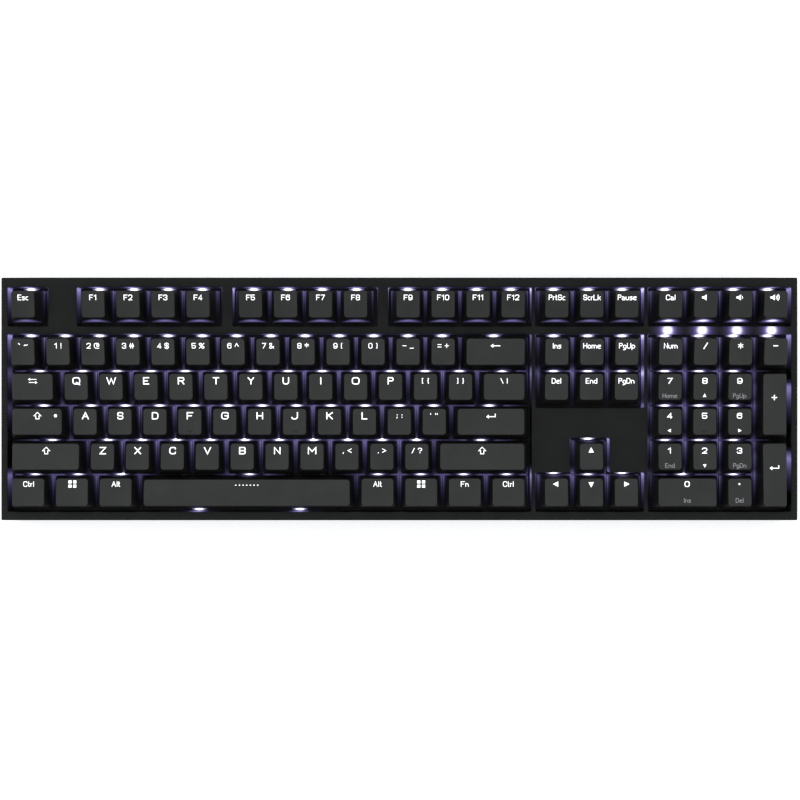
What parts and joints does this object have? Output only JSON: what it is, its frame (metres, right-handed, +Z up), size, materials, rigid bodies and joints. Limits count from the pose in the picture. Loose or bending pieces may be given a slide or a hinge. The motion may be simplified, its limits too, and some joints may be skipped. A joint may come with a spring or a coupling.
{
  "type": "mechanical keyboard",
  "caption": "Full-size backlit mechanical keyboard with media keys, a framed top case, folding rear feet and lock lights.",
  "frame": {"origin": "on the table, under the middle of the case", "axes": "+X to the right along the keyboard, +Y to its rear edge, +Z up"},
  "size_m": [0.4384, 0.1354, 0.0407],
  "materials": {
    "case_plastic": "fine matte texture",
    "cap_plastic": "matte, with glowing legends",
    "plate_steel": "powder coat",
    "board": "solder mask",
    "housing_black": "satin",
    "housing_clear": "clear moulded plastic",
    "steel": "plain",
    "contact_brass": "plain",
    "led_white": "glowing white",
    "rubber": "matte",
    "chip": "moulded",
    "screw_black": "black oxide"
  },
  "bodies": {
    "case": {"top_case": "case_plastic", "bottom_case": "case_plastic", "switch_plate": "plate_steel", "circuit_board": "board", "switch_bases": "housing_black", "switch_covers": "housing_clear", "switch_springs": "steel", "switch_contacts": "contact_brass", "backlight_leds": "led_white", "lock_lights": "led_white", "stabiliser_bases": "housing_black", "stabiliser_wires": "steel", "rubber_pads": "rubber", "usb_socket": "steel", "controller_chip": "chip", "case_screws": "screw_black", "plate_screws": "steel"},
    "left_foot": {"foot_left": "case_plastic", "foot_tip_left": "rubber"},
    "right_foot": {"foot_right": "case_plastic", "foot_tip_right": "rubber"},
    "esc": {"esc": "cap_plastic"},
    "f1_to_f4": {"f1_to_f4": "cap_plastic"},
    "f5_to_f8": {"f5_to_f8": "cap_plastic"},
    "f9_to_f12": {"f9_to_f12": "cap_plastic"},
    "number_keys": {"number_keys": "cap_plastic"},
    "backspace": {"backspace": "cap_plastic"},
    "tab": {"tab": "cap_plastic"},
    "q_row_keys": {"q_row_keys": "cap_plastic"},
    "backslash": {"backslash": "cap_plastic"},
    "caps_lock": {"caps_lock": "cap_plastic"},
    "a_row_keys": {"a_row_keys": "cap_plastic"},
    "enter": {"enter": "cap_plastic"},
    "left_shift": {"left_shift": "cap_plastic"},
    "z_row_keys": {"z_row_keys": "cap_plastic"},
    "right_shift": {"right_shift": "cap_plastic"},
    "left_ctrl": {"left_ctrl": "cap_plastic"},
    "left_win": {"left_win": "cap_plastic"},
    "left_alt": {"left_alt": "cap_plastic"},
    "space": {"space": "cap_plastic"},
    "right_alt": {"right_alt": "cap_plastic"},
    "right_win": {"right_win": "cap_plastic"},
    "fn_key": {"fn_key": "cap_plastic"},
    "right_ctrl": {"right_ctrl": "cap_plastic"},
    "print_keys": {"print_keys": "cap_plastic"},
    "editing_keys": {"editing_keys": "cap_plastic"},
    "arrow_up": {"arrow_up": "cap_plastic"},
    "arrow_left": {"arrow_left": "cap_plastic"},
    "arrow_down": {"arrow_down": "cap_plastic"},
    "arrow_right": {"arrow_right": "cap_plastic"},
    "calculator_key": {"calculator_key": "cap_plastic"},
    "mute_key": {"mute_key": "cap_plastic"},
    "volume_down": {"volume_down": "cap_plastic"},
    "volume_up": {"volume_up": "cap_plastic"},
    "numpad_top_keys": {"numpad_top_keys": "cap_plastic"},
    "numpad_plus": {"numpad_plus": "cap_plastic"},
    "numpad_enter": {"numpad_enter": "cap_plastic"},
    "numpad_digits": {"numpad_digits": "cap_plastic"},
    "numpad_0": {"numpad_0": "cap_plastic"},
    "numpad_point": {"numpad_point": "cap_plastic"}
  },
  "joints": [
    {"name": "left_foot_fold", "type": "hinge", "parent": "case", "child": "left_foot", "pos_m": [-0.17, 0.056, 0.0033], "axis": [1, 0, 0], "range_deg": [0, 100]},
    {"name": "right_foot_fold", "type": "hinge", "parent": "case", "child": "right_foot", "pos_m": [0.17, 0.056, 0.0033], "axis": [1, 0, 0], "range_deg": [0, 100]},
    {"name": "space_press", "type": "slide", "parent": "case", "child": "space", "axis": [0, 0.0698, -0.9976], "range_m": [0, 0.004], "stiffness_N_per_m": 150, "springref_m": -0.002, "deforming": ["switch_springs"]},
    {"name": "enter_press", "type": "slide", "parent": "case", "child": "enter", "axis": [0, 0.0698, -0.9976], "range_m": [0, 0.004], "stiffness_N_per_m": 150, "springref_m": -0.002, "deforming": ["switch_springs"]},
    {"name": "left_shift_press", "type": "slide", "parent": "case", "child": "left_shift", "axis": [0, 0.0698, -0.9976], "range_m": [0, 0.004], "stiffness_N_per_m": 150, "springref_m": -0.002, "deforming": ["switch_springs"]},
    {"name": "backspace_press", "type": "slide", "parent": "case", "child": "backspace", "axis": [0, 0.0698, -0.9976], "range_m": [0, 0.004], "stiffness_N_per_m": 150, "springref_m": -0.002, "deforming": ["switch_springs"]},
    {"name": "esc_press", "type": "slide", "parent": "case", "child": "esc", "axis": [0, 0.0698, -0.9976], "range_m": [0, 0.004], "stiffness_N_per_m": 150, "springref_m": -0.002, "deforming": ["switch_springs"]},
    {"name": "numpad_plus_press", "type": "slide", "parent": "case", "child": "numpad_plus", "axis": [0, 0.0698, -0.9976], "range_m": [0, 0.004], "stiffness_N_per_m": 150, "springref_m": -0.002, "deforming": ["switch_springs"]},
    {"name": "numpad_0_press", "type": "slide", "parent": "case", "child": "numpad_0", "axis": [0, 0.0698, -0.9976], "range_m": [0, 0.004], "stiffness_N_per_m": 150, "springref_m": -0.002, "deforming": ["switch_springs"]},
    {"name": "arrow_up_press", "type": "slide", "parent": "case", "child": "arrow_up", "axis": [0, 0.0698, -0.9976], "range_m": [0, 0.004], "stiffness_N_per_m": 150, "springref_m": -0.002, "deforming": ["switch_springs"]},
    {"name": "volume_up_press", "type": "slide", "parent": "case", "child": "volume_up", "axis": [0, 0.0698, -0.9976], "range_m": [0, 0.004], "stiffness_N_per_m": 150, "springref_m": -0.002, "deforming": ["switch_springs"]},
    {"name": "number_keys_press", "type": "slide", "parent": "case", "child": "number_keys", "axis": [0, 0.0698, -0.9976], "range_m": [0, 0.004], "stiffness_N_per_m": 1950, "springref_m": -0.002, "deforming": ["switch_springs"]},
    {"name": "q_row_keys_press", "type": "slide", "parent": "case", "child": "q_row_keys", "axis": [0, 0.0698, -0.9976], "range_m": [0, 0.004], "stiffness_N_per_m": 1800, "springref_m": -0.002, "deforming": ["switch_springs"]},
    {"name": "a_row_keys_press", "type": "slide", "parent": "case", "child": "a_row_keys", "axis": [0, 0.0698, -0.9976], "range_m": [0, 0.004], "stiffness_N_per_m": 1650, "springref_m": -0.002, "deforming": ["switch_springs"]},
    {"name": "z_row_keys_press", "type": "slide", "parent": "case", "child": "z_row_keys", "axis": [0, 0.0698, -0.9976], "range_m": [0, 0.004], "stiffness_N_per_m": 1500, "springref_m": -0.002, "deforming": ["switch_springs"]},
    {"name": "f1_to_f4_press", "type": "slide", "parent": "case", "child": "f1_to_f4", "axis": [0, 0.0698, -0.9976], "range_m": [0, 0.004], "stiffness_N_per_m": 600, "springref_m": -0.002, "deforming": ["switch_springs"]},
    {"name": "editing_keys_press", "type": "slide", "parent": "case", "child": "editing_keys", "axis": [0, 0.0698, -0.9976], "range_m": [0, 0.004], "stiffness_N_per_m": 900, "springref_m": -0.002, "deforming": ["switch_springs"]},
    {"name": "numpad_digits_press", "type": "slide", "parent": "case", "child": "numpad_digits", "axis": [0, 0.0698, -0.9976], "range_m": [0, 0.004], "stiffness_N_per_m": 1350, "springref_m": -0.002, "deforming": ["switch_springs"]},
    {"name": "f5_to_f8_press", "type": "slide", "parent": "case", "child": "f5_to_f8", "axis": [0, 0.0698, -0.9976], "range_m": [0, 0.004], "stiffness_N_per_m": 600, "springref_m": -0.002, "deforming": ["switch_springs"]},
    {"name": "f9_to_f12_press", "type": "slide", "parent": "case", "child": "f9_to_f12", "axis": [0, 0.0698, -0.9976], "range_m": [0, 0.004], "stiffness_N_per_m": 600, "springref_m": -0.002, "deforming": ["switch_springs"]},
    {"name": "tab_press", "type": "slide", "parent": "case", "child": "tab", "axis": [0, 0.0698, -0.9976], "range_m": [0, 0.004], "stiffness_N_per_m": 150, "springref_m": -0.002, "deforming": ["switch_springs"]},
    {"name": "backslash_press", "type": "slide", "parent": "case", "child": "backslash", "axis": [0, 0.0698, -0.9976], "range_m": [0, 0.004], "stiffness_N_per_m": 150, "springref_m": -0.002, "deforming": ["switch_springs"]},
    {"name": "caps_lock_press", "type": "slide", "parent": "case", "child": "caps_lock", "axis": [0, 0.0698, -0.9976], "range_m": [0, 0.004], "stiffness_N_per_m": 150, "springref_m": -0.002, "deforming": ["switch_springs"]},
    {"name": "right_shift_press", "type": "slide", "parent": "case", "child": "right_shift", "axis": [0, 0.0698, -0.9976], "range_m": [0, 0.004], "stiffness_N_per_m": 150, "springref_m": -0.002, "deforming": ["switch_springs"]},
    {"name": "left_ctrl_press", "type": "slide", "parent": "case", "child": "left_ctrl", "axis": [0, 0.0698, -0.9976], "range_m": [0, 0.004], "stiffness_N_per_m": 150, "springref_m": -0.002, "deforming": ["switch_springs"]},
    {"name": "left_win_press", "type": "slide", "parent": "case", "child": "left_win", "axis": [0, 0.0698, -0.9976], "range_m": [0, 0.004], "stiffness_N_per_m": 150, "springref_m": -0.002, "deforming": ["switch_springs"]},
    {"name": "left_alt_press", "type": "slide", "parent": "case", "child": "left_alt", "axis": [0, 0.0698, -0.9976], "range_m": [0, 0.004], "stiffness_N_per_m": 150, "springref_m": -0.002, "deforming": ["switch_springs"]},
    {"name": "right_alt_press", "type": "slide", "parent": "case", "child": "right_alt", "axis": [0, 0.0698, -0.9976], "range_m": [0, 0.004], "stiffness_N_per_m": 150, "springref_m": -0.002, "deforming": ["switch_springs"]},
    {"name": "right_win_press", "type": "slide", "parent": "case", "child": "right_win", "axis": [0, 0.0698, -0.9976], "range_m": [0, 0.004], "stiffness_N_per_m": 150, "springref_m": -0.002, "deforming": ["switch_springs"]},
    {"name": "fn_key_press", "type": "slide", "parent": "case", "child": "fn_key", "axis": [0, 0.0698, -0.9976], "range_m": [0, 0.004], "stiffness_N_per_m": 150, "springref_m": -0.002, "deforming": ["switch_springs"]},
    {"name": "right_ctrl_press", "type": "slide", "parent": "case", "child": "right_ctrl", "axis": [0, 0.0698, -0.9976], "range_m": [0, 0.004], "stiffness_N_per_m": 150, "springref_m": -0.002, "deforming": ["switch_springs"]},
    {"name": "print_keys_press", "type": "slide", "parent": "case", "child": "print_keys", "axis": [0, 0.0698, -0.9976], "range_m": [0, 0.004], "stiffness_N_per_m": 450, "springref_m": -0.002, "deforming": ["switch_springs"]},
    {"name": "arrow_left_press", "type": "slide", "parent": "case", "child": "arrow_left", "axis": [0, 0.0698, -0.9976], "range_m": [0, 0.004], "stiffness_N_per_m": 150, "springref_m": -0.002, "deforming": ["switch_springs"]},
    {"name": "arrow_down_press", "type": "slide", "parent": "case", "child": "arrow_down", "axis": [0, 0.0698, -0.9976], "range_m": [0, 0.004], "stiffness_N_per_m": 150, "springref_m": -0.002, "deforming": ["switch_springs"]},
    {"name": "arrow_right_press", "type": "slide", "parent": "case", "child": "arrow_right", "axis": [0, 0.0698, -0.9976], "range_m": [0, 0.004], "stiffness_N_per_m": 150, "springref_m": -0.002, "deforming": ["switch_springs"]},
    {"name": "calculator_key_press", "type": "slide", "parent": "case", "child": "calculator_key", "axis": [0, 0.0698, -0.9976], "range_m": [0, 0.004], "stiffness_N_per_m": 150, "springref_m": -0.002, "deforming": ["switch_springs"]},
    {"name": "mute_key_press", "type": "slide", "parent": "case", "child": "mute_key", "axis": [0, 0.0698, -0.9976], "range_m": [0, 0.004], "stiffness_N_per_m": 150, "springref_m": -0.002, "deforming": ["switch_springs"]},
    {"name": "volume_down_press", "type": "slide", "parent": "case", "child": "volume_down", "axis": [0, 0.0698, -0.9976], "range_m": [0, 0.004], "stiffness_N_per_m": 150, "springref_m": -0.002, "deforming": ["switch_springs"]},
    {"name": "numpad_top_keys_press", "type": "slide", "parent": "case", "child": "numpad_top_keys", "axis": [0, 0.0698, -0.9976], "range_m": [0, 0.004], "stiffness_N_per_m": 600, "springref_m": -0.002, "deforming": ["switch_springs"]},
    {"name": "numpad_enter_press", "type": "slide", "parent": "case", "child": "numpad_enter", "axis": [0, 0.0698, -0.9976], "range_m": [0, 0.004], "stiffness_N_per_m": 150, "springref_m": -0.002, "deforming": ["switch_springs"]},
    {"name": "numpad_point_press", "type": "slide", "parent": "case", "child": "numpad_point", "axis": [0, 0.0698, -0.9976], "range_m": [0, 0.004], "stiffness_N_per_m": 150, "springref_m": -0.002, "deforming": ["switch_springs"]}
  ]
}
